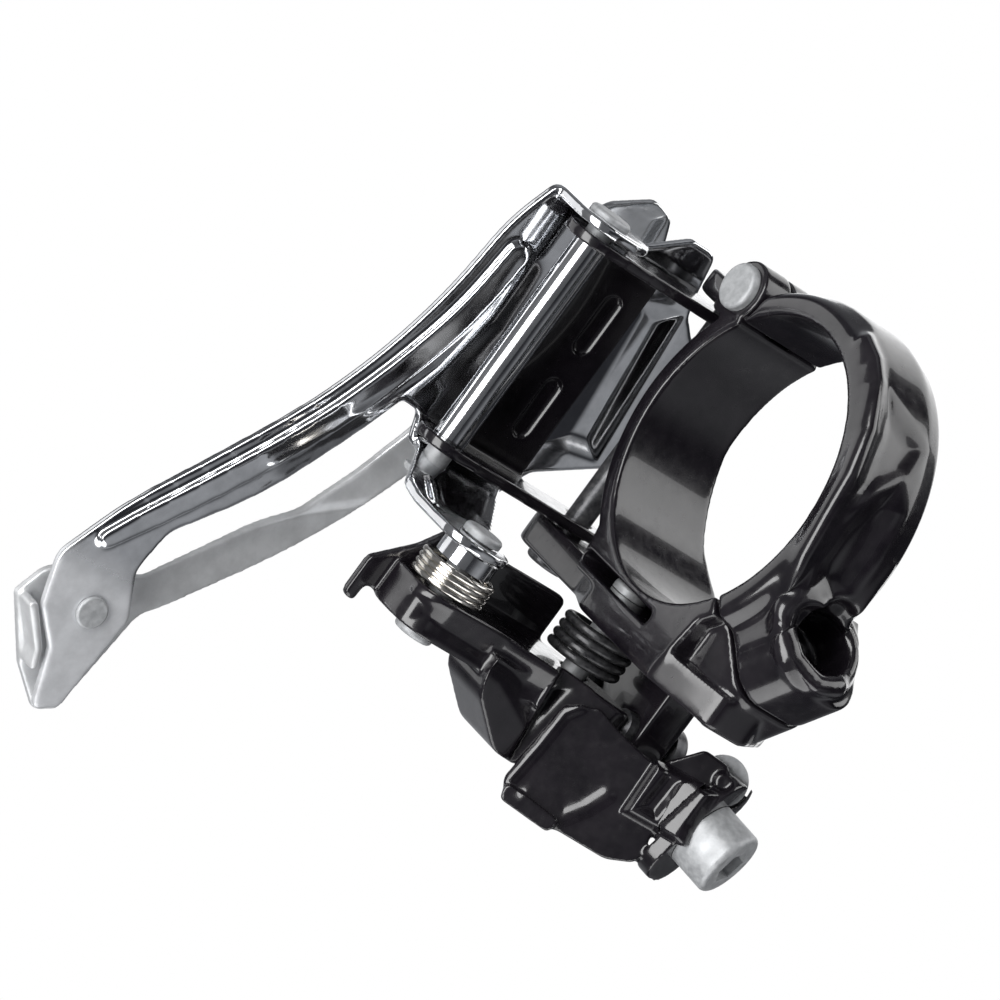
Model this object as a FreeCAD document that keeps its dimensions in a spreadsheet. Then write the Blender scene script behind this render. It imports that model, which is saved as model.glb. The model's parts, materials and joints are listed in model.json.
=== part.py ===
"""Front derailleur for a 34.9 mm seat tube: clamp above the cage, cage for a triple chainset.

Millimetres. +X points to the rear of the bicycle, +Y outboard to the chain side, +Z up the seat
tube. The origin is the middle of the clamp's bore. Every driving size is a cell of the sheet
"Sizes", and the objects are bound to those cells with expressions.
"""

import FreeCAD, Part
import math
import os
import Sketcher

os.makedirs("parts", exist_ok=True)
doc = FreeCAD.newDocument("front_derailleur")

Vector = FreeCAD.Vector
Rotation = FreeCAD.Rotation

SIZES = {
    # clamp
    "bore_radius": 17.45,
    "ring_height": 12.9,
    "bracket_ring_radius": 19.9,
    "band_radius": 21.3,
    "split_angle": -47.5,
    "split_gap": 0.15,
    "hinge_reach": 21.85,
    "knuckle_radius": 3.6,
    "lug_height": 4.0,
    "crown_top": 10.4,
    "bolt_reach": 21.9,
    "bolt_lift": 2.9,
    "boss_width": 12.8,
    "bracket_boss_length": 7.5,
    "band_boss_length": 6.8,
    "bolt_hole_radius": 2.7,
    "bolt_seat_radius": 4.0,
    "bolt_seat_depth": 4.0,
    "bolt_thread_radius": 2.1,
    # pivots, as lines along X
    "lever_top_y": 6.0,
    "lever_top_z": -1.6,
    "link_top_y": 25.5,
    "link_top_z": 1.1,
    "link_bottom_y": 27.0,
    "link_bottom_z": -18.9,
    "lever_bottom_y": "=lever_top_y + link_bottom_y - link_top_y",
    "lever_bottom_z": "=lever_top_z + link_bottom_z - link_top_z",
    "pin_radius": 1.6,
    "running_gap": 0.05,
    # places along X
    "wall_front": 19.9,
    "wall_thickness": 4.0,
    "link_front": -10.0,
    "link_rear": 19.6,
    "link_sheet": 1.3,
    "lever_front": 30.3,
    "lever_rear": 35.2,
    # cage
    "cage_sheet": 1.2,
    "inner_face": 31.6,
    "outer_face": 42.4,
    "tail_inner_face": 32.9,
    "tail_outer_face": 36.0,
    # cable end
    "anchor_x": 36.0,
    "anchor_y": -10.0,
    "anchor_z": 13.8,
    "anchor_lean": 34.6,
    "anchor_head_radius": 4.25,
    "anchor_head_length": 5.2,
    "anchor_thread_radius": 2.5,
}


def make_sheet():
    sheet = doc.addObject("Spreadsheet::Sheet", "Sizes")
    for row, (name, value) in enumerate(SIZES.items(), start=1):
        sheet.set(f"A{row}", name)
        sheet.set(f"B{row}", str(value))
        sheet.setAlias(f"B{row}", name)
    doc.recompute()
    return sheet


SHEET = make_sheet()


def size(name):
    return float(SHEET.get(name))


def bind(obj, prop, formula):
    """Bind a property to the sheet; the formula names cells as {cell}."""
    names = {name: f"Sizes.{name}" for name in SIZES}
    obj.setExpression(prop, formula.format(**names))


# ---------------------------------------------------------------- sketches and features


# radius of a corner whose arc takes up nearly half of the shorter line beside it
FLOW = math.inf


def rounded(points):
    """Closed outline through (u, v) or (u, v, radius) corners, as lines and arcs."""
    corners = []
    count = len(points)
    for index, point in enumerate(points):
        here = Vector(point[0], point[1], 0)
        radius = point[2] if len(point) > 2 else 0
        before = Vector(*points[index - 1][:2], 0)
        after = Vector(*points[(index + 1) % count][:2], 0)
        back = (before - here).normalize()
        ahead = (after - here).normalize()
        half = back.getAngle(ahead) / 2
        straight = math.cos(half) < 0.01
        if not radius or straight:
            corners.append((here, None, here))
            continue
        if radius == FLOW:
            shorter = min(before.distanceToPoint(here), after.distanceToPoint(here))
            radius = 0.48 * shorter * math.tan(half)
        reach = radius / math.tan(half)
        centre = here + (back + ahead).normalize() * (radius / math.sin(half))
        middle = centre + (here - centre).normalize() * radius
        corners.append((here + back * reach, middle, here + ahead * reach))
    edges = []
    for index, (start, middle, end) in enumerate(corners):
        if middle is not None:
            edges.append(Part.Arc(start, middle, end))
        following = corners[(index + 1) % count][0]
        if end.distanceToPoint(following) > 1e-6:
            edges.append(Part.LineSegment(end, following))
    return edges


def polar(radius, degrees):
    turn = math.radians(degrees)
    return Vector(radius * math.cos(turn), radius * math.sin(turn), 0)


def circle(u, v, radius):
    return [Part.Circle(Vector(u, v, 0), Vector(0, 0, 1), radius)]


def new_body(label):
    body = doc.addObject("PartDesign::Body", label)
    body.Label = label
    return body


def origin_plane(body, role):
    return next(f for f in body.Origin.OriginFeatures if f.Role == role)


def new_sketch(body, role, loops, lift=0.0, offset=None):
    """Sketch on an origin plane of the body; lift moves it along the plane's own normal.

    The planes' (u, v, normal) are XY: X, Y, +Z; XZ: X, Z, -Y; YZ: Y, Z, +X.
    """
    sketch = body.newObject("Sketcher::SketchObject", f"{body.Name}_sketch")
    sketch.AttachmentSupport = (origin_plane(body, role), [""])
    sketch.MapMode = "FlatFace"
    sketch.AttachmentOffset = offset or FreeCAD.Placement(Vector(0, 0, lift), Rotation())
    for loop in loops:
        sketch.addGeometry(loop, False)
    return sketch


def pin_down_circle(sketch, index, radius_formula, u_formula=None, v_formula=None):
    """Bind a sketched circle's radius, and its centre where given, to the sheet."""
    rules = [("Radius", (index,), radius_formula, sketch.Geometry[index].Radius)]
    centre = sketch.Geometry[index].Center
    if u_formula:
        rules.append(("DistanceX", (-1, 1, index, 3), u_formula, centre.x))
    if v_formula:
        rules.append(("DistanceY", (-1, 1, index, 3), v_formula, centre.y))
    for kind, where, formula, value in rules:
        number = sketch.addConstraint(Sketcher.Constraint(kind, *where, value))
        bind(sketch, f"Constraints[{number}]", formula)


def pad(body, sketch, length, back=False, middle=False):
    """Pad by a formula of sheet cells."""
    feature = body.newObject("PartDesign::Pad", f"{body.Name}_pad")
    feature.Profile = sketch
    feature.Reversed = back
    feature.Midplane = middle
    bind(feature, "Length", length)
    doc.recompute()
    return feature


def cut(body, sketch, length, back=False, middle=False):
    """Pocket by a formula of sheet cells; it must remove material."""
    before = body.Shape.Volume
    feature = body.newObject("PartDesign::Pocket", f"{body.Name}_pocket")
    feature.Profile = sketch
    feature.Reversed = back
    feature.Midplane = middle
    bind(feature, "Length", length)
    doc.recompute()
    if body.Shape.Volume > before - 1e-3:
        raise RuntimeError(f"a pocket of {body.Label} removes nothing")
    return feature


def revolve(body, sketch, axis="V_Axis", angle="360", back=False):
    feature = body.newObject("PartDesign::Revolution", f"{body.Name}_turn")
    feature.Profile = sketch
    feature.ReferenceAxis = (sketch, [axis])
    feature.Reversed = back
    bind(feature, "Angle", angle)
    doc.recompute()
    return feature


def turned(label, profile, place, lean=None):
    """Body turned about its own X axis from (x, radius) corners, with a bound place."""
    body = new_body(label)
    sketch = new_sketch(body, "XY_Plane", [rounded(profile)])
    revolve(body, sketch, "H_Axis")
    if lean:
        body.Placement = FreeCAD.Placement(Vector(), lean)
    for axis, formula in zip("xyz", place):
        bind(body, f"Placement.Base.{axis}", str(formula))
    doc.recompute()
    return body


def rivet_profile(start, end, shank, head, thickness, dome=0.5):
    """Half outline of a rivet with a domed head outside start and outside end."""
    return [
        (start - thickness, 0),
        (start - thickness, head, dome),
        (start, head),
        (start, shank),
        (end, shank),
        (end, head),
        (end + thickness, head, dome),
        (end + thickness, 0),
    ]


# ---------------------------------------------------------------- clamp


def split_frame(reach, along, lift=0.0):
    """Point at a reach from the bore's axis on the split line, moved along the bolt's axis."""
    radial = polar(1, size("split_angle"))
    axial = Vector(-radial.y, radial.x, 0)
    return radial * reach + axial * along + Vector(0, 0, lift)


def bolt_plane(along):
    """Sketch offset on YZ whose normal is the bolt's axis; u points to the bore, v up."""
    axis_turn = size("split_angle") + 90
    turn = math.radians(axis_turn)
    base = Vector(along * math.sin(turn), 0, along * math.cos(turn))
    return FreeCAD.Placement(base, Rotation(Vector(0, 1, 0), axis_turn))


def boss_outline():
    reach, lift, half = size("bolt_reach"), size("bolt_lift"), size("boss_width") / 2
    near, far = -(reach - half), -(reach + half)
    return rounded([
        (near, lift - half - 1.6), (near - 2.0, lift - half - 1.2, 2.0),
        (far, lift - half + 1.6, 4.2), (far, lift + half, 3.8), (near, lift + half),
    ])


def bolt_hole(body, radius_cell, start, depth):
    """Round pocket on the clamp bolt's axis from start, towards the bracket."""
    sketch = new_sketch(
        body, "YZ_Plane", [circle(-size("bolt_reach"), size("bolt_lift"), size(radius_cell))],
        offset=bolt_plane(start),
    )
    pin_down_circle(sketch, 0, f"{{{radius_cell}}}", "-{bolt_reach}", "{bolt_lift}")
    cut(body, sketch, depth, back=True)


def ring_sector(body, profile, start, sweep):
    turn = FreeCAD.Placement(Vector(), Rotation(Vector(0, 1, 0), start))
    sketch = new_sketch(body, "XZ_Plane", [profile], offset=turn)
    revolve(body, sketch, "V_Axis", sweep)


def round_pocket(body, at, radius, formula, depth):
    """Vertical round pocket, even above and below the middle plane."""
    sketch = new_sketch(body, "XY_Plane", [circle(at.x, at.y, radius)])
    pin_down_circle(sketch, 0, formula)
    cut(body, sketch, depth, middle=True)


def make_clamp_bracket():
    body = new_body("clamp_bracket")
    bore, ring = size("bore_radius"), size("bracket_ring_radius")
    low, high = -size("ring_height") / 2, size("ring_height") / 2
    crown = size("crown_top")
    gap_turn = math.degrees(size("split_gap") / bore)
    start = size("split_angle") + gap_turn

    profile = rounded([(bore, low), (ring, low, 0.5), (ring, high, 0.5), (bore, high)])
    ring_sector(body, profile, start, f"{180 - 2 * gap_turn}")
    raised = rounded([(bore, high - 1), (ring, high - 1), (ring, crown), (bore, crown)])
    ring_sector(body, raised, start + 4, "125")

    # the crown falls away from the rear wall towards the front of the ring
    fall = rounded([
        (-19.0, high), (2.0, high, 4.0), (12.0, high + 1.9, 4.0), (15.5, crown + 0.1),
        (15.5, crown + 3), (-19.0, crown + 3),
    ])
    cut(body, new_sketch(body, "XZ_Plane", [fall]), "50", middle=True)

    boss = new_sketch(body, "YZ_Plane", [boss_outline()], offset=bolt_plane(size("split_gap")))
    pad(body, boss, "{bracket_boss_length}")

    front = size("wall_front")
    link_y, link_z = size("link_top_y"), size("link_top_z")
    lever_y, lever_z = size("lever_top_y"), size("lever_top_z")
    wall = rounded([
        (-11.5, low, 1.0),
        (lever_y, low, 3.0),
        (lever_y + 6.5, lever_z - 1.6, 3.0),
        (link_y - 4.5, link_z - 4.3, 2.0),
        (link_y + 4.3, link_z - 4.3, 4.2),
        (link_y + 4.3, link_z + 4.3, 4.2),
        (lever_y + 10.0, high - 0.4, 4.0),
        (lever_y + 8.0, crown, 1.5),
        (-14.0, crown, 2.5),
        (-20.0, high - 3.0, 2.0),
        (-20.0, low + 4.5, 2.0),
    ])
    pad(body, new_sketch(body, "YZ_Plane", [wall], front), "{wall_thickness}")

    # solid metal between the ring and the flat wall
    root = rounded([
        (12.6, -13.3), (front + 1.0, -11.8), (front + 1.0, 11.0), (15.8, 12.0), (14.0, 0.0),
    ])
    pad(body, new_sketch(body, "XY_Plane", [root], low), f"{crown - low}")

    shelf = rounded([
        (lever_y - 8.0, lever_z + 6.6),
        (lever_y + 8.0, lever_z + 6.6),
        (lever_y + 8.0, crown, 1.5),
        (lever_y - 8.0, crown, 1.5),
    ])
    pad(body, new_sketch(body, "YZ_Plane", [shelf], front + 0.5), "14.0")

    lug = rounded([
        (14.5, low, 0),
        (19.0, low, 2.0),
        (link_y - 3.0, link_z - 4.3, 1.5),
        (link_y + 4.3, link_z - 4.3, 4.2),
        (link_y + 4.3, link_z + 4.3, 4.2),
        (19.0, high, 3.0),
        (14.5, high, 0),
    ])
    pad(body, new_sketch(body, "YZ_Plane", [lug], -13.8), "3.0")

    hinge = polar(size("hinge_reach"), size("split_angle") + 180)
    knuckle = new_sketch(body, "XY_Plane", [circle(hinge.x, hinge.y, size("knuckle_radius"))])
    pin_down_circle(knuckle, 0, "{knuckle_radius}")
    pad(body, knuckle, "{ring_height}", middle=True)

    # the band's lug works between the two knuckles
    room = size("knuckle_radius") + 0.35
    round_pocket(body, hinge, room, "{knuckle_radius} + 0.35", "{lug_height} + 0.3")
    round_pocket(body, hinge, size("pin_radius"), "{pin_radius}", "{ring_height} + 1")
    round_pocket(body, Vector(), bore, "{bore_radius}", "{ring_height} + 20")
    bolt_hole(body, "bolt_thread_radius", -1, "{bracket_boss_length} + 10")

    # pivot holes through the rear wall and the front lug
    for pivot, (y, z), depth in (("lever_top", (lever_y, lever_z), "11.0"),
                                 ("link_top", (link_y, link_z), "50.0")):
        hole = new_sketch(body, "YZ_Plane", [circle(y, z, size("pin_radius"))], lift=30)
        pin_down_circle(hole, 0, "{pin_radius}", f"{{{pivot}_y}}", f"{{{pivot}_z}}")
        cut(body, hole, depth)

    # window from the bore to the wall, with the lever pin's head in it
    window = rounded([
        (lever_y - 11.5, low - 1), (lever_y + 5.0, low - 1),
        (lever_y + 5.0, lever_z + 4.0, 1.5), (lever_y - 11.5, lever_z + 4.0, 1.5),
    ])
    cut(body, new_sketch(body, "YZ_Plane", [window], front), "1.6")
    return body


def make_clamp_band():
    body = new_body("clamp_band")
    bore, outer = size("bore_radius"), size("band_radius")
    low, high = -size("ring_height") / 2, size("ring_height") / 2
    gap_turn = math.degrees(size("split_gap") / bore)
    profile = rounded([
        (bore, low),
        (outer - 1.2, low, 1.6),
        (outer, low + 3.4, 2.4),
        (outer, high - 3.4, 2.4),
        (outer - 1.2, high, 1.6),
        (bore, high),
    ])
    turn = size("split_angle") + 180
    ring_sector(body, profile, turn + gap_turn, f"{180 - 2 * gap_turn}")

    hinge = polar(size("hinge_reach"), turn)
    room = size("knuckle_radius") + 0.3
    round_pocket(body, hinge, room, "{knuckle_radius} + 0.3", "{ring_height} + 1")
    lug_radius = size("knuckle_radius") - 0.1
    web = rounded([
        tuple(polar(size("hinge_reach") + lug_radius, turn))[:2],
        tuple(polar(outer - 0.3, turn + 19))[:2],
        tuple(polar(bore + 0.2, turn + 15))[:2],
        tuple(polar(size("hinge_reach") - lug_radius, turn))[:2],
    ])
    pad(body, new_sketch(body, "XY_Plane", [web]), "{lug_height}", middle=True)
    eye = new_sketch(body, "XY_Plane", [circle(hinge.x, hinge.y, lug_radius)])
    pin_down_circle(eye, 0, "{knuckle_radius} - 0.1")
    pad(body, eye, "{lug_height}", middle=True)

    boss = new_sketch(body, "YZ_Plane", [boss_outline()], offset=bolt_plane(-size("split_gap")))
    pad(body, boss, "{band_boss_length}", back=True)

    # the band thickens into the bolt boss on its outer side
    swell = size("bolt_reach") + 2.0
    flank = [
        split_frame(size("bolt_reach") - 3, -size("split_gap")), split_frame(swell, -1.0),
        split_frame(swell, 0.8 - size("band_boss_length")),
        polar(outer - 0.2, size("split_angle") - 50), polar(outer - 2.2, size("split_angle") - 48),
        polar(outer - 2.2, size("split_angle") - 12),
    ]
    gusset = rounded([(p.x, p.y, 1.5 if n == 2 else 0) for n, p in enumerate(flank)])
    pad(body, new_sketch(body, "XY_Plane", [gusset], low + 2.6), "{ring_height} - 3.8")

    round_pocket(body, hinge, size("pin_radius") + 0.05, "{pin_radius} + {running_gap}",
                 "{ring_height}")
    round_pocket(body, Vector(), bore, "{bore_radius}", "{ring_height} + 20")
    end = -size("split_gap") - size("band_boss_length") - 8
    bolt_hole(body, "bolt_hole_radius", end, "25")
    bolt_hole(body, "bolt_seat_radius", end, "{bolt_seat_depth} + 8")
    return body


# ---------------------------------------------------------------- sheet-metal prisms

PLANES = {
    "XY": Rotation(),
    "XZ": Rotation(Vector(1, 0, 0), 90),
    "YZ": Rotation(Vector(1, 1, 1), 120),
}


def prism(name, plane, loops, start, length):
    """Extrusion of an outline from start along the axis that the plane faces.

    XY extrudes along +Z and YZ along +X; XZ extrudes along +Y. A plane may also be a Rotation,
    and then the outline is extruded along its own z axis from that frame's origin.
    """
    turn = PLANES.get(plane) if isinstance(plane, str) else plane
    along = Vector(0, 1, 0) if plane == "XZ" else turn.multVec(Vector(0, 0, 1))
    sketch = doc.addObject("Sketcher::SketchObject", f"{name}_outline")
    for loop in loops:
        sketch.addGeometry(loop, False)
    sketch.Placement = FreeCAD.Placement(along * start, turn)
    solid = doc.addObject("Part::Extrusion", name)
    solid.Base = sketch
    solid.DirMode = "Custom"
    solid.Dir = along
    bind(solid, "LengthFwd", str(length))
    solid.Solid = True
    return solid


def cylinder(name, radius, length, base, along):
    """Part cylinder with its radius and length bound to the sheet."""
    solid = doc.addObject("Part::Cylinder", name)
    bind(solid, "Radius", radius)
    bind(solid, "Height", length)
    solid.Placement = FreeCAD.Placement(base, Rotation(Vector(0, 0, 1), along))
    return solid


def common(name, *solids):
    both = doc.addObject("Part::MultiCommon", name)
    both.Shapes = list(solids)
    return both


def fused(name, *solids):
    whole = doc.addObject("Part::MultiFuse", name)
    whole.Shapes = list(solids)
    whole.Refine = True
    return whole


def minus(name, base, *tools):
    tool = tools[0] if len(tools) == 1 else fused(f"{name}_tools", *tools)
    rest = doc.addObject("Part::Cut", name)
    rest.Base, rest.Tool = base, tool
    return rest


def named(solid, label):
    solid.Label = label
    FINISHED.append(solid)
    return solid


FINISHED = []


# ---------------------------------------------------------------- outer link and its pins


def make_outer_link():
    top = (size("link_top_y"), size("link_top_z"))
    low = (size("link_bottom_y"), size("link_bottom_z"))
    half = 3.85
    front, rear, sheet = size("link_front"), size("link_rear"), size("link_sheet")
    arm = rounded([
        (top[0] - half, top[1] + half, half - 0.1),
        (top[0] + half, top[1] + half, half - 0.1),
        (low[0] + half, low[1] - half, half - 0.1),
        (low[0] - half, low[1] - half, half - 0.1),
    ])
    arms = [
        prism("link_front_arm", "YZ", [arm], front, "{link_sheet}"),
        prism("link_rear_arm", "YZ", [arm], rear - sheet, "{link_sheet}"),
    ]
    web_face = low[0] + 3.3
    web = prism("link_web", "XY", [rounded([
        (front, web_face - 4.0),
        (front + sheet, web_face - 4.0),
        (front + sheet, web_face - sheet, 0.8),
        (rear - sheet, web_face - sheet, 0.8),
        (rear - sheet, web_face - 4.0),
        (rear, web_face - 4.0),
        (rear, web_face, 2.0),
        (front, web_face, 2.0),
    ])], low[1] + 2.6, 10.0)
    recesses = [
        prism(f"link_recess_{n}", "XZ", [rounded([
            (x - 4, low[1] + 7.6, 1.2), (x + 4, low[1] + 7.6, 1.2),
            (x + 4, low[1] + 10.0, 1.2), (x - 4, low[1] + 10.0, 1.2),
        ])], web_face - sheet - 0.5, 1.0)
        for n, x in enumerate((-1.0, 10.5))
    ]
    holes = [
        cylinder(f"link_hole_{n}", "{pin_radius} + {running_gap}", "40",
                 Vector(front - 5, y, z), Vector(1, 0, 0))
        for n, (y, z) in enumerate((top, low))
    ]
    whole = fused("link_metal", *arms, web)
    return named(minus("outer_link", whole, *recesses, *holes), "outer_link")


def make_pins():
    pin = size("pin_radius") - 0.02
    wall_rear = size("wall_front") + size("wall_thickness")
    top = ("0", "{link_top_y}", "{link_top_z}")
    low = ("0", "{link_bottom_y}", "{link_bottom_z}")
    lever = ("0", "{lever_top_y}", "{lever_top_z}")
    open_pivot = ("0", "{lever_bottom_y}", "{lever_bottom_z}")
    rear = size("lever_rear")

    turned("outer_link_pin", rivet_profile(-13.82, wall_rear + 0.02, pin, 2.6, 1.0), top)
    turned("cage_pivot_pin", rivet_profile(-12.02, 23.0, pin, 2.6, 0.8), low)
    turned("inner_link_pin", [
        (18.75, 0), (18.75, 2.2, 0.5), (19.85, 2.2), (19.85, pin), (rear + 0.05, pin),
        (rear + 0.05, 2.9), (rear + 1.0, 2.9, 0.6), (rear + 1.0, 0),
    ], lever)
    turned("cage_link_pin", rivet_profile(23.05, rear + 0.02, pin, 2.4, 1.0), open_pivot)

    sleeve = new_body("pivot_sleeve")
    tube = new_sketch(sleeve, "YZ_Plane", [circle(0, 0, 2.05), circle(0, 0, 1.65)], -8.65)
    pad(sleeve, tube, "26.9")
    slit = rounded([(-3, -0.12), (-1, -0.12), (-1, 0.12), (-3, 0.12)])
    cut(sleeve, new_sketch(sleeve, "YZ_Plane", [slit], -9), "28", back=True)
    bind(sleeve, "Placement.Base.y", "{link_bottom_y}")
    bind(sleeve, "Placement.Base.z", "{link_bottom_z}")

    collar = new_body("cage_link_collar")
    ring = new_sketch(collar, "YZ_Plane", [circle(0, 0, 3.5), circle(0, 0, 1.65)], 24.65)
    pad(collar, ring, "1.9")
    slot = rounded([(-0.8, 2.3), (0.8, 2.3), (0.8, 4), (-0.8, 4)])
    cut(collar, new_sketch(collar, "YZ_Plane", [slot], 24), "4", back=True)
    bind(collar, "Placement.Base.y", "{lever_bottom_y}")
    bind(collar, "Placement.Base.z", "{lever_bottom_z}")

    hinge = polar(size("hinge_reach"), size("split_angle") + 180)
    rivet = turned("hinge_rivet", rivet_profile(-6.5, 6.5, pin, 2.8, 1.1),
                   (hinge.x, hinge.y, 0), Rotation(Vector(0, 1, 0), -90))
    return rivet


# ---------------------------------------------------------------- inner link and cable arm

ARM_ACROSS = Vector(0.988, -0.153, 0)
ARM_UP = Vector(-0.09, -0.581, 0.809)


# middle of the guide rivet on the arm's flat
GUIDE_AT = (30.9, 12.8)


def arm_plane():
    """Frame of the cable arm's flat: u to the rear, v up and inboard, normal inboard and down."""
    return Rotation(ARM_ACROSS, ARM_UP, ARM_ACROSS.cross(ARM_UP), "XYZ")


def anchor_axis():
    lean, swing = math.radians(size("anchor_lean")), math.radians(-78.4)
    flat = math.cos(lean)
    return Vector(flat * math.cos(swing), flat * math.sin(swing), math.sin(lean))


def anchor_plane():
    axis = anchor_axis()
    across = (ARM_ACROSS - axis * ARM_ACROSS.dot(axis)).normalize()
    return Rotation(across, axis.cross(across), axis, "XYZ")


def anchor_place(along, across=0.0, deep=0.0):
    turn = anchor_plane()
    base = Vector(size("anchor_x"), size("anchor_y"), size("anchor_z"))
    return FreeCAD.Placement(base + turn.multVec(Vector(across, deep, along)), turn)


def at_anchor(name, loops, start, length):
    solid = prism(name, anchor_plane(), loops, 0, length)
    solid.Base.Placement = anchor_place(start)
    return solid


def make_inner_link():
    top = (size("lever_top_y"), size("lever_top_z"))
    low = (size("lever_bottom_y"), size("lever_bottom_z"))
    front, rear = size("lever_front"), size("lever_rear")
    web_in, web_out = top[0] + 6.5, top[0] + 7.7
    lever = rounded([
        (top[0] - 7.0, top[1] + 5.0, 0.8),
        (top[0], top[1] + 5.0, 1.0),
        (top[0] + 6.8, top[1] + 1.1, 1.0),
        (web_out, top[1] - 3.0, 2.0),
        (web_out, low[1] - 4.4, 3.0),
        (low[0] - 4.6, low[1] - 4.4, 4.3),
        (low[0] - 4.6, low[1] + 8.0, 4.0),
        (top[0] - 5.4, top[1] - 5.0, 4.0),
        (top[0] - 7.0, top[1] - 1.0, 2.0),
    ])
    body = prism("lever_body", "YZ", [lever], front, "{lever_rear} - {lever_front}")
    web = prism("lever_web", "XZ", [rounded([
        (24.8, top[1] - 1.5, 1.0), (rear - 0.2, top[1] - 1.5), (rear - 0.2, low[1] - 1.8, 0.4),
        (rear - 0.4, low[1] - 5.2, 0.6), (rear + 2.0, low[1] - 5.4, 0.4),
        (rear + 1.8, low[1] - 7.0, 0.8), (rear - 3.3, low[1] - 7.0, 1.0),
        (28.0, low[1] - 2.4, 1.0), (24.8, low[1], 1.5),
    ])], web_in, "1.2")
    shoulder = prism("lever_shoulder", "XZ", [rounded([
        (front + 2, top[1] - 1.0), (rear + 7.0, top[1] - 1.0, 2.0), (rear + 6.6, top[1] - 6.0, 4.0),
        (rear + 2.0, top[1] - 12.0, 4.0), (rear - 1.0, top[1] - 13.0), (front + 2, top[1] - 13.0),
    ])], top[0] - 4.6, "9.0")
    plate_side = prism("arm_side", arm_plane(), [rounded([
        (20, -8.8), (60, -8.8), (60, 30), (20, 30),
    ])], -3.85, "40")
    holes = [
        cylinder(f"lever_hole_{n}", radius, "30", Vector(front - 8, y, z), Vector(1, 0, 0))
        for n, (radius, (y, z)) in enumerate((
            ("{pin_radius} + {running_gap}", top), ("{pin_radius}", low),
        ))
    ]
    pin_room = cylinder("pin_room", "3.2", "12", Vector(rear, *top), Vector(1, 0, 0))
    whole = fused("lever_metal", body, web, shoulder)
    return named(minus("inner_link", whole, plate_side, pin_room, *holes), "inner_link")


def make_cable_arm():
    flat = prism("arm_flat", arm_plane(), [rounded([
        (32.6, -6.6, 1.0), (43.0, -8.2, 1.5), (45.2, -7.0, 1.0), (45.6, -3.0, 1.0),
        (45.0, 0.0), (45.0, 6.0, 3.0), (43.5, 9.4, 1.5), (33.5, 8.6, 1.5), (32.9, 4.0, 1.0),
        (32.0, 0.0), (31.0, -3.0, 1.0),
    ])], -3.8, "1.6")
    lip = prism("arm_lip", arm_plane(), [rounded([
        (43.2, -7.8, 0.6), (45.2, -7.4, 0.6), (45.7, -1.0, 0.6), (44.0, -0.4, 0.6),
    ])], -3.0, "2.2")
    tongue = prism("guide_tongue", arm_plane(), [rounded([
        (30.6, 14.2, 0.6), (29.1, 12.3, 0.6), (28.9, 9.4, 1.0), (33.2, 5.5, 0.5), (35.5, 5.5),
        (35.5, 8.4, 0.5), (32.9, 13.6, 0.8),
    ])], -3.8, "1.6")
    guide_hole = cylinder("guide_hole", "1.02", "6", arm_plane().multVec(Vector(*GUIDE_AT, -6)),
                          ARM_ACROSS.cross(ARM_UP))
    guide_room = cylinder("guide_room", "3.3", "4", arm_plane().multVec(Vector(*GUIDE_AT, -7.82)),
                          ARM_ACROSS.cross(ARM_UP))
    platform = at_anchor("arm_platform", [rounded([
        (-7.4, -4.2, 3.4), (7.6, -4.2, 3.4), (7.6, 4.6, 3.4), (-7.4, 4.6, 3.4),
    ])], -2.0, "2.0")
    block = at_anchor("arm_block", [rounded([
        (-3.4, -3.6, 0.8), (4.0, -3.6, 0.8), (4.0, 4.6, 0.8), (-3.4, 4.6, 0.8),
    ])], -7.0, "5.6")
    thread = cylinder("arm_thread", "{anchor_thread_radius} + 0.03", "24",
                      anchor_place(-14).Base, anchor_axis())
    whole = fused("arm_metal", flat, tongue, lip, platform, block)
    threaded = minus("arm_threaded", whole, thread)
    cleared = minus("arm_cleared", threaded, guide_room)
    return named(minus("cable_arm", cleared, guide_hole), "cable_arm")


def make_guide_rivet():
    """Rivet through the tongue beside the cable platform, its round head behind the sheet."""
    profile = [
        (-3.5, 0), (-3.5, 2.2, 0.6), (-2.6, 2.9, 0.6), (-1.65, 2.9), (-1.65, 1.0), (-0.02, 1.0),
        (-0.02, 0),
    ]
    foot = arm_plane().multVec(Vector(*GUIDE_AT, -2.2))
    turned("guide_rivet", profile, foot, arm_plane().multiply(Rotation(Vector(0, 1, 0), -90)))


def make_anchor_bolt():
    head, length = size("anchor_head_radius"), size("anchor_head_length")
    body = new_body("cable_anchor_bolt")
    outline = rounded([
        (0, length), (head, length, 0.7), (head, 0.05), (size("anchor_thread_radius"), 0.05),
        (size("anchor_thread_radius"), -8.4), (size("anchor_thread_radius") - 0.5, -9.0), (0, -9.0),
    ])
    revolve(body, new_sketch(body, "XZ_Plane", [outline]))
    hexagon = rounded([tuple(polar(2.31, 60 * side))[:2] for side in range(6)])
    cut(body, new_sketch(body, "XY_Plane", [hexagon], length), "2.8")
    body.Placement = anchor_place(0)
    return body


# ---------------------------------------------------------------- cage


def cage_strip(face, tail_face, bend_start, bend_end, radius=0):
    """Plan view of a cage plate between its inboard face and one sheet thickness outboard."""
    sheet = size("cage_sheet")
    return rounded([
        (-18, face), (bend_start, face, radius), (bend_end, tail_face, radius), (74, tail_face),
        (74, tail_face + sheet), (bend_end, tail_face + sheet, radius),
        (bend_start, face + sheet, radius), (-18, face + sheet),
    ])


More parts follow.
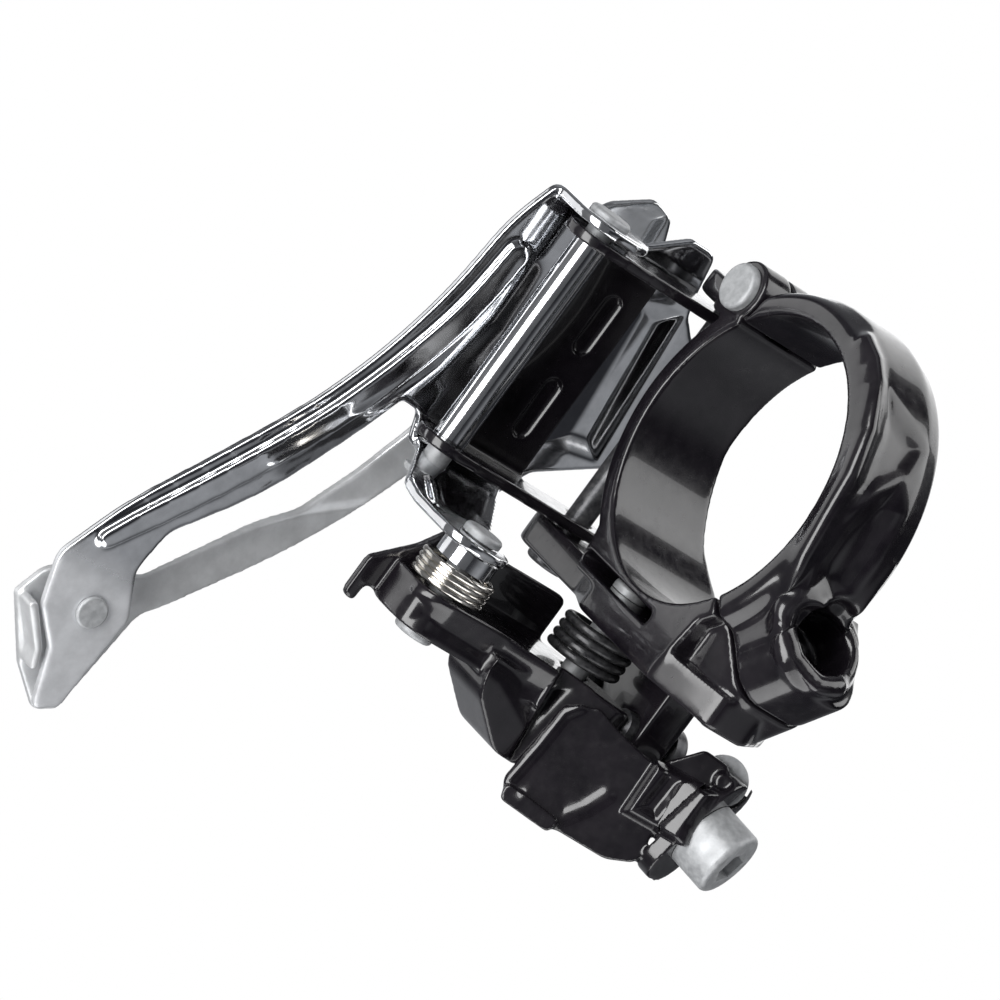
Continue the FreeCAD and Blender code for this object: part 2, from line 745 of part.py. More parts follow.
def make_inner_plate():
    face, sheet = size("inner_face"), size("cage_sheet")
    low = (size("link_bottom_y"), size("link_bottom_z"))
    open_pivot = (size("lever_bottom_y"), size("lever_bottom_z"))
    outline = rounded([
        (-6.9, 1.5, 1.5), (-3.9, 4.9, 2.0), (10.8, 5.5, 1.5), (12.8, 4.6, 1.0), (17.6, -3.6, 2.0),
        (21.8, -5.6, 1.0), (21.8, -19.6, 1.0), (18.2, -21.0, 1.0), (18.0, -23.8, 0.6),
        (25.1, -26.6, 4.0), (35.2, -31.0, FLOW),
        (44.5, -38.0, 4.0), (50.0, -38.6, 3.0), (55.4, -35.4, 1.5), (67.7, -36.2, 0.8),
        (69.7, -39.1, 0.8), (62.6, -42.0, 1.5), (58.8, -46.2, 1.5), (52.7, -48.4, 3.0),
        (43.5, -44.6, FLOW), (35.3, -39.8, FLOW), (25.1, -34.1, FLOW), (15.0, -29.8, FLOW),
        (4.9, -27.2, FLOW), (-5.8, -26.2, FLOW), (-12.0, -23.8, 1.5), (-11.2, -9.1, 2.0),
        (-14.6, -4.2, 1.2), (-14.6, -0.4, 1.5), (-9.0, 0.75, 1.5),
    ])
    strip = prism("inner_strip", "XY", [cage_strip(face, size("tail_inner_face"), 22, 45)], -60, "80")
    plate = common("inner_sheet", strip, prism("inner_outline", "XZ", [outline], 20, "30"))

    bead = rounded([
        (-4.0, -21.6, 1.5), (5.6, -22.4, FLOW), (16.0, -25.4, FLOW), (26.6, -29.9, FLOW),
        (36.8, -35.4, FLOW), (45.4, -41.0, 4.0), (50.0, -44.4, 1.0), (48.6, -46.0, 1.0),
        (44.0, -43.4, 4.0), (35.6, -38.4, FLOW), (25.6, -32.9, FLOW), (15.0, -28.4, FLOW),
        (5.0, -25.4, FLOW), (-4.4, -24.6, 1.5),
    ])
    bead_plan = cage_strip(face - 1.0, size("tail_inner_face") - 1.0, 22, 45)
    bead_strip = prism("bead_strip", "XY", [bead_plan], -60, "80")
    raised = common("bead", bead_strip, prism("bead_outline", "XZ", [bead], 20, "30"))

    ear = prism("front_ear", "YZ", [rounded([
        (low[0] - 4.6, low[1] + 4.6, 4.4), (face + 0.6, low[1] + 8.0),
        (face + 0.6, low[1] - 4.4, 0.5), (low[0] - 4.6, low[1] - 4.6, 4.4),
    ])], -12.0, "1.2")
    arm = common(
        "rear_arm",
        prism("rear_arm_outline", "YZ", [rounded([
            (open_pivot[0] - 4.3, open_pivot[1] + 4.2, 4.1),
            (open_pivot[0] + 3.0, open_pivot[1] + 3.6, 2.0), (face + 0.6, -5.6),
            (face + 0.6, -19.0), (face - 3.0, -20.6, 2.0), (17.5, -27.4, 3.0),
            (open_pivot[0] - 4.3, open_pivot[1] - 5.6, 4.1),
        ])], 15, "15"),
        prism("rear_arm_strip", "XY", [rounded([
            (20.6, face + 0.6), (20.6, face - 1.6, 2.0), (23.2, 14.0, 4.0), (23.2, 0), (24.4, 0),
            (24.4, 14.1, 4.0), (21.8, face - 1.4, 2.0), (21.8, face + 0.6),
        ])], -40, "50"),
    )
    ribs = [
        cylinder(f"rib_{n}", "0.55", "9.0", Vector(23.4, 12.0 + 3 * n, -25.9 + 2.4 * n),
                 Vector(-0.13, 0.94, 0.33))
        for n in range(2)
    ]
    flange = prism("bridge", "YZ", [rounded([
        (face, 3.4), (face, 4.9, 1.2), (42.4, 2.6, 1.2), (42.4, -3.6), (41.2, -3.6),
        (41.2, 1.4, 0.6), (face + 1.2, 3.4),
    ])], -5.0, "17.0")
    holes = [
        cylinder("ear_holes", "{pin_radius}", "45", Vector(-16, *low), Vector(1, 0, 0)),
        cylinder("arm_hole", "{pin_radius} + {running_gap}", "8", Vector(20, *open_pivot),
                 Vector(1, 0, 0)),
        cylinder("tail_hole_inner", "1.5", "6", Vector(56.6, 30, -40.4), Vector(0, 1, 0)),
        cylinder("bridge_hole_0", "1.2", "4", Vector(-0.5, 40, -1.2), Vector(0, 1, 0)),
        cylinder("bridge_hole_1", "1.2", "4", Vector(8.5, 40, -1.2), Vector(0, 1, 0)),
    ]
    whole = fused("inner_metal", plate, raised, ear, arm, flange, *ribs)
    return named(minus("cage_inner_plate", whole, *holes), "cage_inner_plate")


def make_outer_plate():
    face, tail = size("outer_face"), size("tail_outer_face")
    outline = rounded([
        (-11.6, 0.6, 2.0), (-14.0, -0.5, 1.5), (-14.9, -3.6, 1.5), (-12.1, -8.4, 2.0),
        (-9.0, -10.8, 2.0), (10.0, -10.8, FLOW), (21.3, -12.2, FLOW), (27.4, -14.6, FLOW),
        (36.2, -20.3, 4.0), (39.6, -24.5, FLOW), (51.2, -34.8, 3.0), (52.0, -41.5, 3.0),
        (55.5, -46.6, 3.0), (59.5, -48.0, 0.8), (66.4, -42.0, 1.5), (70.2, -36.8, 1.0),
        (68.8, -34.2, 1.0), (55.0, -32.7, 3.0), (51.4, -29.2, 3.0), (41.6, -20.0, FLOW),
        (32.8, -13.2, FLOW), (24.9, -8.4, 5.0), (19.5, 2.2, 2.5), (4.0, 3.4, FLOW),
    ])
    strip = prism("outer_strip", "XY", [cage_strip(face, tail, 26, 53.5, 12)], -60, "80")
    plate = common("outer_sheet", strip, prism("outer_outline", "XZ", [outline], 20, "40"))
    heel = prism("outer_heel", "XZ", [rounded([
        (58.5, -46.9, 0.4), (62.9, -42.6), (65.4, -41.5, 0.3), (65.8, -42.4, 0.3),
        (63.6, -43.4), (59.4, -47.7, 0.4),
    ])], 33.0, "3.6")
    holes = [
        cylinder("tail_hole_outer", "1.5", "6", Vector(56.6, 34, -40.4), Vector(0, 1, 0)),
        cylinder("bridge_hole_2", "1.2", "4", Vector(-0.5, 41, -1.2), Vector(0, 1, 0)),
        cylinder("bridge_hole_3", "1.2", "4", Vector(8.5, 41, -1.2), Vector(0, 1, 0)),
    ]
    whole = fused("outer_metal", plate, heel)
    return named(minus("cage_outer_plate", whole, *holes), "cage_outer_plate")


def make_cage_rivets():
    across = Rotation(Vector(0, 0, 1), 90)
    turned("tail_rivet", rivet_profile(32.85, 37.25, 1.48, 1.95, 0.5, 0.3),
           ("56.6", "0", "-40.4"), across)
    spacer = new_body("tail_spacer")
    rings = [circle(56.6, -40.4, 2.6), circle(56.6, -40.4, 1.52)]
    pad(spacer, new_sketch(spacer, "XZ_Plane", rings, -34.12), "1.76", back=True)
    rivet = doc.addObject("Part::Compound", "bridge_rivets")
    pair = []
    for n, x in enumerate((-0.5, 8.5)):
        one = turned(f"bridge_rivet_{n}", rivet_profile(41.15, 43.65, 1.18, 2.0, 0.6, 0.3),
                     (str(x), "0", "-1.2"), across)
        pair.append(one)
    rivet.Links = pair
    return named(rivet, "bridge_rivets")


# ---------------------------------------------------------------- screws and springs


def make_limit_screws():
    top = size("crown_top")
    for label, y, tip in (("low_limit_screw", 1.0, 3.55), ("high_limit_screw", 11.0, 3.85)):
        body = new_body(label)
        outline = rounded([
            (0, top + 2.2 - tip), (3.0, top + 2.2 - tip, 0.9), (3.0, top + 0.1 - tip),
            (1.98, top + 0.1 - tip), (1.98, 0.5), (1.4, 0), (0, 0),
        ])
        revolve(body, new_sketch(body, "XZ_Plane", [outline]))
        cross = rounded([
            (-0.4, -2), (0.4, -2), (0.4, -0.4), (2, -0.4), (2, 0.4), (0.4, 0.4), (0.4, 2),
            (-0.4, 2), (-0.4, 0.4), (-2, 0.4), (-2, -0.4), (-0.4, -0.4),
        ])
        cut(body, new_sketch(body, "XY_Plane", [cross], top + 2.2 - tip), "1.3")
        body.Placement.Base = Vector(32.0, y, tip)


def coil(label, wire, spine):
    """Wire of a given radius swept along a smooth line through the points of its spine."""
    curve = Part.BSplineCurve()
    curve.interpolate(spine)
    path = Part.Wire([curve.toShape()])
    start, heading = curve.value(0), curve.tangent(0)[0]
    section = Part.Wire([Part.makeCircle(wire, start, heading)])
    solid = doc.addObject("Part::Feature", label)
    solid.Shape = path.makePipeShell([section], True, True)
    return named(solid, label)


def helix(start_x, end_x, centre, radius, turns, first_degrees):
    """Points of a helix round an axis along X."""
    steps = int(turns * 12)
    points = []
    for step in range(steps + 1):
        part = step / steps
        turn = math.radians(first_degrees + 360 * turns * part)
        points.append(Vector(
            start_x + (end_x - start_x) * part,
            centre[0] + radius * math.cos(turn),
            centre[1] + radius * math.sin(turn),
        ))
    return points


def make_springs():
    low = (size("lever_bottom_y"), size("lever_bottom_z"))
    top = (size("lever_top_y"), size("lever_top_z"))
    coil("return_spring", 0.4, helix(27.0, 29.7, low, 4.25, 3.75, 90))
    coil("pivot_spring", 0.55, helix(24.7, 28.9, top, 4.1, 3.75, 90))


def holes_for_screws():
    bracket = doc.getObject("clamp_bracket")
    wells = new_sketch(bracket, "XY_Plane", [circle(32.0, 1.0, 2.0), circle(32.0, 11.0, 2.0)], 20)
    cut(bracket, wells, "20")


make_clamp_bracket()
make_clamp_band()
make_outer_link()
make_pins()
make_inner_link()
make_cable_arm()
make_guide_rivet()
make_anchor_bolt()
make_inner_plate()
make_outer_plate()
make_cage_rivets()
make_limit_screws()
make_springs()
holes_for_screws()

doc.recompute()
for obj in doc.Objects:
    if "Invalid" in obj.State or "Error" in obj.State:
        raise RuntimeError(f"{obj.Label} is {obj.State}")
    if obj.TypeId == "PartDesign::Body" and not obj.Label.startswith("bridge_rivet_"):
        FINISHED.append(obj)
for obj in FINISHED:
    shape = obj.Shape
    if shape.isNull() or not shape.isValid():
        raise RuntimeError(f"{obj.Label} has no valid shape")
    box = shape.BoundBox
    print(f"{obj.Label:18s} {len(shape.Solids)} {shape.Volume:8.1f}"
          f" X {box.XMin:6.1f} {box.XMax:6.1f} Y {box.YMin:6.1f} {box.YMax:6.1f}"
          f" Z {box.ZMin:6.1f} {box.ZMax:6.1f}")
    shape.exportStep(f"parts/{obj.Label}.step")
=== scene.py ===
"""Looks of the front derailleur: materials, soft edges, sculpted skins, studio and camera.

Metres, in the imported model's frame: +X to the rear, +Y outboard, +Z up the seat tube.
"""

import json
import math

import bmesh
import bpy
import numpy as np
from mathutils import Matrix, Vector


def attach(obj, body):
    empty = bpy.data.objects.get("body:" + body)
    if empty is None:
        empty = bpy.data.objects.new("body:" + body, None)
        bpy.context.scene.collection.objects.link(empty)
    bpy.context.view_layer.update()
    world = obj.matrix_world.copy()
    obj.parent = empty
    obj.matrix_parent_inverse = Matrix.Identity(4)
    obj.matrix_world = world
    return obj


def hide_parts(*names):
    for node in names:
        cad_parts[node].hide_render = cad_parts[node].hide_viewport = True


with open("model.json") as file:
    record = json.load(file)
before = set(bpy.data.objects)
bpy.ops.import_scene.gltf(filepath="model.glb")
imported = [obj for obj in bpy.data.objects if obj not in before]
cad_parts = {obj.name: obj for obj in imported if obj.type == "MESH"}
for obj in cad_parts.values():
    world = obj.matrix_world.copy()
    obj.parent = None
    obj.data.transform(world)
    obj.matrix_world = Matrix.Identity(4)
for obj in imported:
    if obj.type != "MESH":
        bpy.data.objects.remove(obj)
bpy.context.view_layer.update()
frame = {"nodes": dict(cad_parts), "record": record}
NODES = frame["nodes"]
MM = 0.001

# directions across, up and back from the camera, for the photographed angle
ACROSS = Vector((0.988, -0.153, 0.0))
RISE = Vector((-0.09, -0.581, 0.809))
TOWARDS = ACROSS.cross(RISE).normalized()
RIGHT = (ACROSS * -0.514 + RISE * 0.858).normalized()
UP = TOWARDS.cross(RIGHT).normalized()
CENTRE = Vector((0.02, 0.012, -0.012))

# ---------------------------------------------------------------- materials


class Shader:
    """A principled material built from small named steps."""

    def __init__(self, name):
        self.material = bpy.data.materials.new(name)
        self.material.use_nodes = True
        self.tree = self.material.node_tree
        self.principled = self.tree.nodes["Principled BSDF"]
        coordinates = self.tree.nodes.new("ShaderNodeTexCoord")
        self.place = coordinates.outputs["Object"]

    def set(self, **values):
        for name, value in values.items():
            self.principled.inputs[name.replace("_", " ")].default_value = value

    def node(self, kind, **inputs):
        made = self.tree.nodes.new(kind)
        for name, value in inputs.items():
            socket = made.inputs[name.replace("_", " ")]
            if isinstance(value, bpy.types.NodeSocket):
                self.tree.links.new(value, socket)
            else:
                socket.default_value = value
        return made

    def stretch(self, x, y, z):
        """Object coordinates scaled differently along each axis."""
        return self.node("ShaderNodeMapping", Vector=self.place, Scale=(x, y, z)).outputs[0]

    def noise(self, scale, detail=4.0, vector=None):
        made = self.node(
            "ShaderNodeTexNoise", Vector=vector or self.place, Scale=scale, Detail=detail,
            Roughness=0.55,
        )
        return made.outputs["Fac"]

    def ramp(self, value, low, high, start, end):
        """Value remapped from start..end to low..high."""
        made = self.node("ShaderNodeMapRange", Value=value)
        for name, number in (("From Min", start), ("From Max", end), ("To Min", low), ("To Max", high)):
            made.inputs[name].default_value = number
        return made.outputs["Result"]

    def tint(self, value, dark, light):
        made = self.tree.nodes.new("ShaderNodeValToRGB")
        for stop, color, position in zip(made.color_ramp.elements, (dark, light), (0.35, 0.65)):
            stop.color = (*color, 1)
            stop.position = position
        self.tree.links.new(value, made.inputs["Fac"])
        return made.outputs["Color"]

    def wire(self, output, name):
        self.tree.links.new(output, self.principled.inputs[name])

    def bump(self, height, strength, distance, below=None):
        made = self.node("ShaderNodeBump", Height=height, Strength=strength, Distance=distance)
        if below:
            self.tree.links.new(below, made.inputs["Normal"])
        return made.outputs["Normal"]


def black_paint():
    """Thick glossy stove enamel, a little uneven, with faint dust in it."""
    s = Shader("black_enamel")
    s.set(Coat_Weight=0.6, Coat_Roughness=0.04, Specular_IOR_Level=0.5, IOR=1.52)
    s.wire(s.tint(s.noise(240.0), (0.005, 0.004, 0.006), (0.012, 0.010, 0.013)), "Base Color")
    s.wire(s.ramp(s.noise(900.0, 3.0), 0.16, 0.28, 0.3, 0.7), "Roughness")
    slow = s.bump(s.noise(160.0, 2.0), 0.25, 0.00012)
    s.wire(s.bump(s.noise(2600.0, 2.0), 0.06, 0.00003, slow), "Normal")
    return s.material


def drawn_wire():
    """Bright plated spring wire: soft waves, fine drawing lines and a few dull spots."""
    s = Shader("nickel_wire")
    s.set(Metallic=1.0)
    s.wire(s.tint(s.noise(420.0), (0.6396, 0.615, 0.574), (0.78, 0.75, 0.70)), "Base Color")
    lines = s.noise(1500.0, 3.0, vector=s.stretch(0.12, 1.0, 1.0))
    s.wire(s.ramp(lines, 0.084, 0.238, 0.3, 0.7), "Roughness")
    slow = s.bump(s.noise(110.0, 2.0), 0.1, 0.0004)
    s.wire(s.bump(lines, 0.05, 0.00004, slow), "Normal")
    return s.material


def cage_plating(name, color, polish, satin, start, end):
    """Chrome that is polished forward of start and left satin to the rear of end, along X."""
    s = Shader(name)
    along = s.node("ShaderNodeSeparateXYZ", Vector=s.place).outputs["X"]
    lines = s.noise(1500.0, 3.0, vector=s.stretch(0.12, 1.0, 1.0))
    base = s.ramp(along, polish, satin, start, end)
    grain = s.ramp(lines, -0.02, 0.03, 0.3, 0.7)
    rough = s.node("ShaderNodeMath", Value=base)
    s.tree.links.new(grain, rough.inputs[1])  # the second of the node's two values
    s.wire(rough.outputs[0], "Roughness")
    s.wire(s.ramp(along, 1.0, 0.55, start, end), "Metallic")
    s.wire(s.tint(s.noise(420.0), tuple(0.84 * c for c in color), color), "Base Color")
    slow = s.bump(s.noise(90.0, 2.0), 0.3, 0.0004)
    s.wire(s.bump(lines, 0.05, 0.00004, slow), "Normal")
    return s.material


def zinc(name, dark, light, rough):
    """Dull plating with fine crystals."""
    s = Shader(name)
    s.set(Metallic=0.55)
    s.wire(s.tint(s.noise(1400.0, 6.0), dark, light), "Base Color")
    s.wire(s.ramp(s.noise(700.0), rough * 0.8, rough * 1.25, 0.3, 0.7), "Roughness")
    s.wire(s.bump(s.noise(3000.0, 3.0), 0.25, 0.00005), "Normal")
    return s.material


FINISH = {
    "black_paint": black_paint(),
    "chrome": cage_plating("bright_chrome", (0.80, 0.81, 0.83), 0.1, 0.42, 0.049, 0.054),
    "cage_steel": cage_plating("rolled_chrome", (0.78, 0.79, 0.80), 0.2, 0.45, 0.012, 0.030),
    "zinc_plate": zinc("zinc_plating", (0.42, 0.43, 0.44), (0.55, 0.56, 0.57), 0.54),
    "nickel_wire": drawn_wire(),
    "black_wire": zinc("blackened_wire", (0.02, 0.02, 0.022), (0.06, 0.06, 0.062), 0.3),
    "dark_steel": zinc("dark_screw_steel", (0.05, 0.05, 0.055), (0.12, 0.12, 0.125), 0.34),
}


def dress(obj, finish):
    obj.data.materials.clear()
    obj.data.materials.append(FINISH[finish])


SLOTS = {part["node"]: part["material_slot"] for part in frame["record"]["subparts"]}
for node, obj in NODES.items():
    for holder in obj.material_slots:
        holder.link = "OBJECT"
        holder.material = FINISH[SLOTS[node]]

# ---------------------------------------------------------------- sculpted skins


def shank_end(node):
    """Middle of a pin's end face on the camera's side, in mm."""
    face_depth = 0.05 * MM
    points = [NODES[node].matrix_world @ vertex.co for vertex in NODES[node].data.vertices]
    nearest = max(point.dot(TOWARDS) for point in points)
    end = [point for point in points if point.dot(TOWARDS) > nearest - face_depth]
    return sum(end, Vector()) / len(end) / MM


# what is joined to a skin as a round ring: centre, axis, radius and thickness in mm
RINGS = {
    # rim of the clamp bolt's counterbore
    "clamp_band": ((9.75, -20.77, 2.9), (-0.737, -0.676, 0.0), 4.95, 1.0),
    # painted-over end of the guide rivet, closed in the middle
    "cable_arm": (shank_end("guide_rivet"), TOWARDS, 0.55, 0.6),
}


def settle(skin, rounds):
    """Relax a skin's vertices into a smooth surface."""
    smooth = skin.modifiers.new("worn", "SMOOTH")
    smooth.iterations = rounds
    graph = bpy.context.evaluated_depsgraph_get()
    skin.data = bpy.data.meshes.new_from_object(skin.evaluated_get(graph))
    skin.modifiers.clear()


def add_ring(mesh, centre, axis, radius, thickness):
    """Join a round ring to a mesh; sizes in mm."""
    steps_round, steps_tube = 48, 12
    turn = Vector(axis).to_track_quat("Z", "Y").to_matrix()
    shape = bmesh.new()
    shape.from_mesh(mesh)
    rows = []
    for step in range(steps_round):
        angle = 2 * math.pi * step / steps_round
        row = []
        for part in range(steps_tube):
            tube = 2 * math.pi * part / steps_tube
            reach = radius + thickness * math.cos(tube)
            place = Vector((
                reach * math.cos(angle), reach * math.sin(angle), thickness * math.sin(tube),
            ))
            row.append(shape.verts.new((Vector(centre) + turn @ place) * MM))
        rows.append(row)
    for near, far in zip(rows, rows[1:] + rows[:1]):
        for part in range(steps_tube):
            after = (part + 1) % steps_tube
            shape.faces.new((near[part], far[part], far[after], near[after]))
    shape.to_mesh(mesh)
    shape.free()


def rounded_copy(node, voxel, rounds):
    """A node's shape rebuilt as an even fine mesh with its edges worn round, in world places."""
    mesh = NODES[node].data.copy()
    mesh.transform(NODES[node].matrix_world)
    if node in RINGS:
        add_ring(mesh, *RINGS[node])
    skin = bpy.data.objects.new(f"{node}_skin", mesh)
    bpy.context.scene.collection.objects.link(skin)
    remesh = skin.modifiers.new("even", "REMESH")
    remesh.mode = "VOXEL"
    remesh.voxel_size = voxel * MM
    settle(skin, rounds)
    return skin


class Plan:
    """Vertices of a skin seen flat from the camera, in mm, for shaping by drawn marks.

    Marks move the near surface along its normals, or the whole thickness of a sheet.
    """

    def __init__(self, skin, sheet=False):
        self.mesh = skin.data
        count = len(self.mesh.vertices)
        self.points = np.empty(count * 3)
        self.mesh.vertices.foreach_get("co", self.points)
        self.points = self.points.reshape(-1, 3)
        self.normals = np.empty(count * 3)
        self.mesh.vertex_normals.foreach_get("vector", self.normals)
        self.normals = self.normals.reshape(-1, 3)
        self.u = self.points @ np.array(ACROSS) / MM
        self.v = self.points @ np.array(RISE) / MM
        facing = np.array(TOWARDS)
        if sheet:
            self.way = np.tile(facing, (count, 1))
        else:
            self.way = self.normals * np.clip((self.normals @ facing - 0.1) / 0.3, 0, 1)[:, None]
        self.lift = np.zeros(count)

    def distance(self, line):
        """Distance from every vertex to a drawn line, through its corners."""
        best = np.full(len(self.u), 1e9)
        for (au, av), (bu, bv) in zip(line[:-1], line[1:]):
            du, dv = bu - au, bv - av
            part = ((self.u - au) * du + (self.v - av) * dv) / (du * du + dv * dv)
            part = np.clip(part, 0, 1)
            best = np.minimum(best, np.hypot(self.u - au - part * du, self.v - av - part * dv))
        return best

    def inside(self, outline):
        odd = np.zeros(len(self.u), bool)
        for (au, av), (bu, bv) in zip(outline, outline[1:] + outline[:1]):
            if av == bv:
                continue
            crosses = (av > self.v) != (bv > self.v)
            odd ^= crosses & (self.u < (bu - au) * (self.v - av) / (bv - av) + au)
        return odd

    def ridge(self, line, width, height):
        """Raise (or with a negative height, scribe) a rounded crest along a line."""
        self.lift += height * np.exp(-((self.distance(line) / width) ** 2))

    def hollow(self, outline, depth, soft):
        """Press the area of an outline in, rolling off over a soft border."""
        edge = np.clip(self.distance(outline + outline[:1]) / soft, 0, 1)
        edge = edge * edge * (3 - 2 * edge)
        self.lift -= depth * np.where(self.inside(outline), edge, 0)

    def apply(self):
        moved = self.points + self.way * (self.lift * MM)[:, None]
        self.mesh.vertices.foreach_set("co", moved.ravel())
        self.mesh.update()


def loop_around(centre, half_u, half_v, degrees):
    """Points of a tilted closed ellipse."""
    steps = 24
    lean = math.radians(degrees)
    points = []
    for step in range(steps + 1):
        angle = math.radians(360 * step / steps)
        u, v = half_u * math.cos(angle), half_v * math.sin(angle)
        points.append((
            centre[0] + u * math.cos(lean) - v * math.sin(lean),
            centre[1] + u * math.sin(lean) + v * math.cos(lean),
        ))
    return points


def shape_band(plan):
    """The crest that swirls into the bolt mouth, the mouth's lip and the scoops beside them."""
    crest = [
        (-18.2, 1.2), (-16.8, 3.0), (-14.8, 4.4), (-10.0, 6.2), (-5.0, 7.0), (0.0, 7.1), (5.0, 7.2),
        (10.0, 7.8), (13.0, 9.3), (15.3, 11.8), (16.4, 15.0), (15.8, 17.2),
    ]
    plan.ridge(crest, 1.0, 1.2)
    plan.ridge(loop_around((12.7, 13.3), 5.0, 3.9, 56), 0.7, 0.7)
    plan.hollow([
        (-8.2, 12.2), (-4.5, 14.6), (1.0, 14.8), (6.0, 14.4), (8.6, 13.0), (8.4, 9.3), (5.0, 8.2),
        (0.0, 8.5), (-4.0, 9.8),
    ], 1.5, 3.0)
    plan.hollow([
        (-16.6, 4.6), (-12.0, 13.4), (-8.0, 13.0), (-1.6, 9.0), (-4.6, 7.8), (-10.0, 6.8),
    ], 0.7, 2.4)


def shape_inner_plate(plan):
    """A soft crest along the plate and two pressed fields."""
    plan.ridge([(-7.0, -35.0), (0.0, -35.4), (8.0, -37.6), (16.0, -41.5), (26.0, -47.5)], 1.1, 0.35)
    plan.hollow([(-12.0, -24.0), (-12.0, -16.8), (8.0, -16.8), (9.5, -24.0)], 1.2, 3.0)
    plan.hollow([(14.8, -27.0), (14.8, -36.5), (22.5, -30.0), (20.5, -23.0)], 0.7, 2.5)


def shape_outer_plate(plan):
    """A crest along the plate's lower run and a pressed field near its front."""
    plan.ridge([(20.0, -30.0), (30.0, -42.6), (33.0, -45.6), (45.0, -55.0)], 0.8, 0.5)
    plan.hollow([(-21.0, -24.0), (-21.0, -33.0), (-12.0, -33.0), (-12.0, -24.0)], 0.7, 2.0)


def shape_cable_arm(plan):
    """The raised clamp block with its groove, and two folds across the arm."""
    plan.hollow([(32.4, 5.0), (32.2, 13.4), (39.6, 12.6), (39.8, 4.6)], -1.7, 1.0)
    plan.hollow([(32.6, 6.6), (32.6, 9.6), (38.6, 8.8), (38.6, 5.8)], 0.7, 1.2)
    plan.ridge([(31.8, -4.8), (33.5, -6.0), (38.0, -6.6), (42.5, -7.4)], 0.6, 0.35)
    plan.ridge([(38.8, 2.6), (41.2, 1.4), (43.6, -0.4), (43.4, -5.0)], 0.9, 0.3)


def shape_inner_link(plan):
    """A fold across the lever's web and the hollow beside it."""
    plan.ridge([(29.4, -5.0), (28.8, -12.0), (29.4, -20.0), (30.0, -27.0)], 0.6, 0.35)
    plan.hollow([(30.0, -6.0), (30.0, -27.0), (34.0, -27.0), (34.6, -14.0), (38.0, -8.0)], 0.7, 3.0)


# node: voxel in mm, rounds of wear, rounds after shaping, shaping, whether it is a thin sheet
SKINS = {
    "clamp_bracket": (0.22, 26, 0, None, False),
    "clamp_band": (0.22, 36, 8, shape_band, False),
    "inner_link": (0.2, 14, 4, shape_inner_link, False),
    "cable_arm": (0.18, 8, 4, shape_cable_arm, False),
    "outer_link": (0.2, 9, 0, None, False),
    "cage_inner_plate": (0.18, 20, 6, shape_inner_plate, True),
    "cage_outer_plate": (0.18, 16, 6, shape_outer_plate, True),
}
BODY_OF = {
    node: body for body, nodes in frame["record"]["behaviour"]["bodies"].items() for node in nodes
}
for node, (voxel, rounds, last_rounds, shape, sheet) in SKINS.items():
    skin = rounded_copy(node, voxel, rounds)
    if shape:
        plan = Plan(skin, sheet)
        shape(plan)
        plan.apply()
        settle(skin, last_rounds)
    for polygon in skin.data.polygons:
        polygon.use_smooth = True
    dress(skin, SLOTS[node])
    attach(skin, BODY_OF[node])
    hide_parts(node)

# ---------------------------------------------------------------- soft edges on the CAD pieces

EDGE_MM = {"cable_anchor_bolt": 0.12, "cage_link_collar": 0.15, "tail_spacer": 0.1}
BEVEL_OVER = math.radians(38)
CREASE_OVER = math.radians(34)
for node, obj in NODES.items():
    for polygon in obj.data.polygons:
        polygon.use_smooth = True
    if node in EDGE_MM:
        bevel = obj.modifiers.new("edges", "BEVEL")
        bevel.width = EDGE_MM[node] * MM
        bevel.segments = 3
        bevel.limit_method = "ANGLE"
        bevel.angle_limit = BEVEL_OVER
        bevel.use_clamp_overlap = False
    split = obj.modifiers.new("creases", "EDGE_SPLIT")
    split.split_angle = CREASE_OVER

# ---------------------------------------------------------------- studio


def area_light(name, place, aim, width, height, power):
    data = bpy.data.lights.new(name, "AREA")
    data.shape = "RECTANGLE"
    data.size, data.size_y = width, height
    data.energy = power
    light = bpy.data.objects.new(name, data)
    bpy.context.scene.collection.objects.link(light)
    light.location = place
    light.rotation_euler = (Vector(aim) - Vector(place)).to_track_quat("-Z", "Y").to_euler()


# large soft boxes: name, direction from the part, distance, width, height, brightness
SOFT_BOXES = (
    ("over", (0.80, -0.50, 0.10), 0.9, 1.0, 0.7, 2.0),
    ("front", (-0.72, -0.30, 0.60), 0.9, 0.6, 0.75, 2.2),
    ("low_strip", (-0.05, -0.34, -0.94), 0.8, 1.3, 0.45, 6.0),
    ("under", (0.10, 0.80, -0.60), 0.9, 0.9, 0.5, 1.0),
    ("behind", (-0.30, 0.60, 0.75), 0.9, 1.0, 0.6, 1.2),
)
for name, direction, distance, width, height, brightness in SOFT_BOXES:
    place = CENTRE + Vector(direction).normalized() * distance
    area_light(name, place, CENTRE, width, height, brightness * math.pi * width * height)

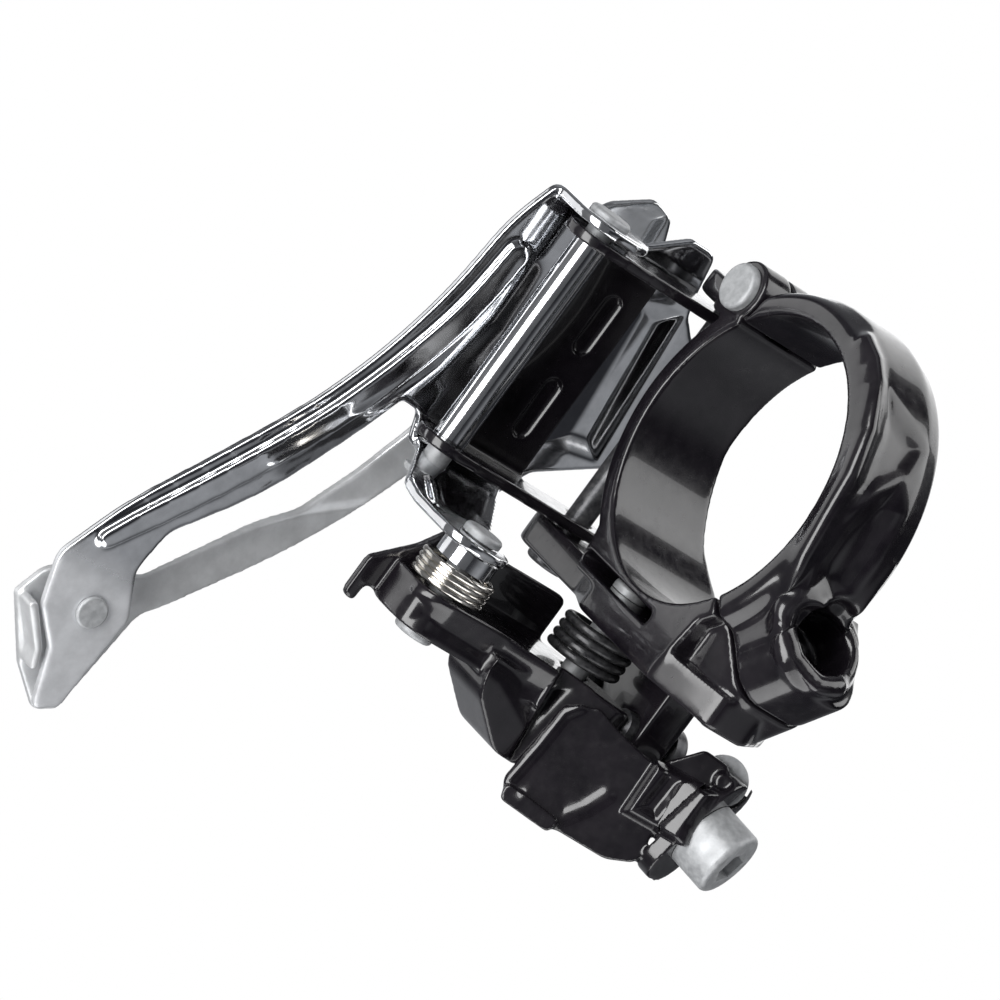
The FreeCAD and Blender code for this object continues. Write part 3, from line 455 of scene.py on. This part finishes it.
# a white backdrop for the camera, and a dim patchy room for everything that reflects
world = bpy.data.worlds.new("studio")
world.use_nodes = True
bpy.context.scene.world = world
tree = world.node_tree
tree.nodes.clear()
output = tree.nodes.new("ShaderNodeOutputWorld")
backdrop = tree.nodes.new("ShaderNodeBackground")
backdrop.inputs["Color"].default_value = (1.0, 1.0, 1.0, 1)
backdrop.inputs["Strength"].default_value = 1.0
room = tree.nodes.new("ShaderNodeBackground")
patches = tree.nodes.new("ShaderNodeTexNoise")
patches.inputs["Scale"].default_value = 1.3
patches.inputs["Detail"].default_value = 0.5
directions = tree.nodes.new("ShaderNodeTexCoord")
tree.links.new(directions.outputs["Generated"], patches.inputs["Vector"])
shades = tree.nodes.new("ShaderNodeValToRGB")
shades.color_ramp.elements[0].color = (0.03, 0.031, 0.036, 1)
shades.color_ramp.elements[0].position = 0.4
shades.color_ramp.elements[1].color = (0.42, 0.43, 0.45, 1)
shades.color_ramp.elements[1].position = 0.66
tree.links.new(patches.outputs["Fac"], shades.inputs["Fac"])
tree.links.new(shades.outputs["Color"], room.inputs["Color"])
room.inputs["Strength"].default_value = 0.8
path = tree.nodes.new("ShaderNodeLightPath")
mix = tree.nodes.new("ShaderNodeMixShader")
tree.links.new(path.outputs["Is Camera Ray"], mix.inputs["Fac"])
tree.links.new(room.outputs[0], mix.inputs[1])
tree.links.new(backdrop.outputs[0], mix.inputs[2])
tree.links.new(mix.outputs[0], output.inputs["Surface"])

FLOOR_WIDTH = 12.0
FLOOR_LEVEL = -1.9
bpy.ops.mesh.primitive_plane_add(size=FLOOR_WIDTH, location=(0, 0, FLOOR_LEVEL))
floor = bpy.context.object
floor.name = "floor"
ground = Shader("pale_floor")
ground.set(Roughness=0.8)
ground.wire(ground.tint(ground.noise(3.0), (0.78, 0.78, 0.78), (0.84, 0.84, 0.84)), "Base Color")
floor.data.materials.append(ground.material)

# ---------------------------------------------------------------- camera

DISTANCE = 1.2
FRAME_WIDTH = 0.1112
AIM = ACROSS * 0.0169 + RISE * -0.0243 - TOWARDS * 0.010
camera_data = bpy.data.cameras.new("camera")
camera_data.lens = camera_data.sensor_width * DISTANCE / FRAME_WIDTH
camera_data.clip_end = 20
camera = bpy.data.objects.new("camera", camera_data)
bpy.context.scene.collection.objects.link(camera)
turn = Matrix((RIGHT, UP, TOWARDS)).transposed().to_4x4()
camera.matrix_world = Matrix.Translation(AIM + TOWARDS * DISTANCE) @ turn
bpy.context.scene.camera = camera
bpy.context.scene.view_settings.view_transform = "Standard"
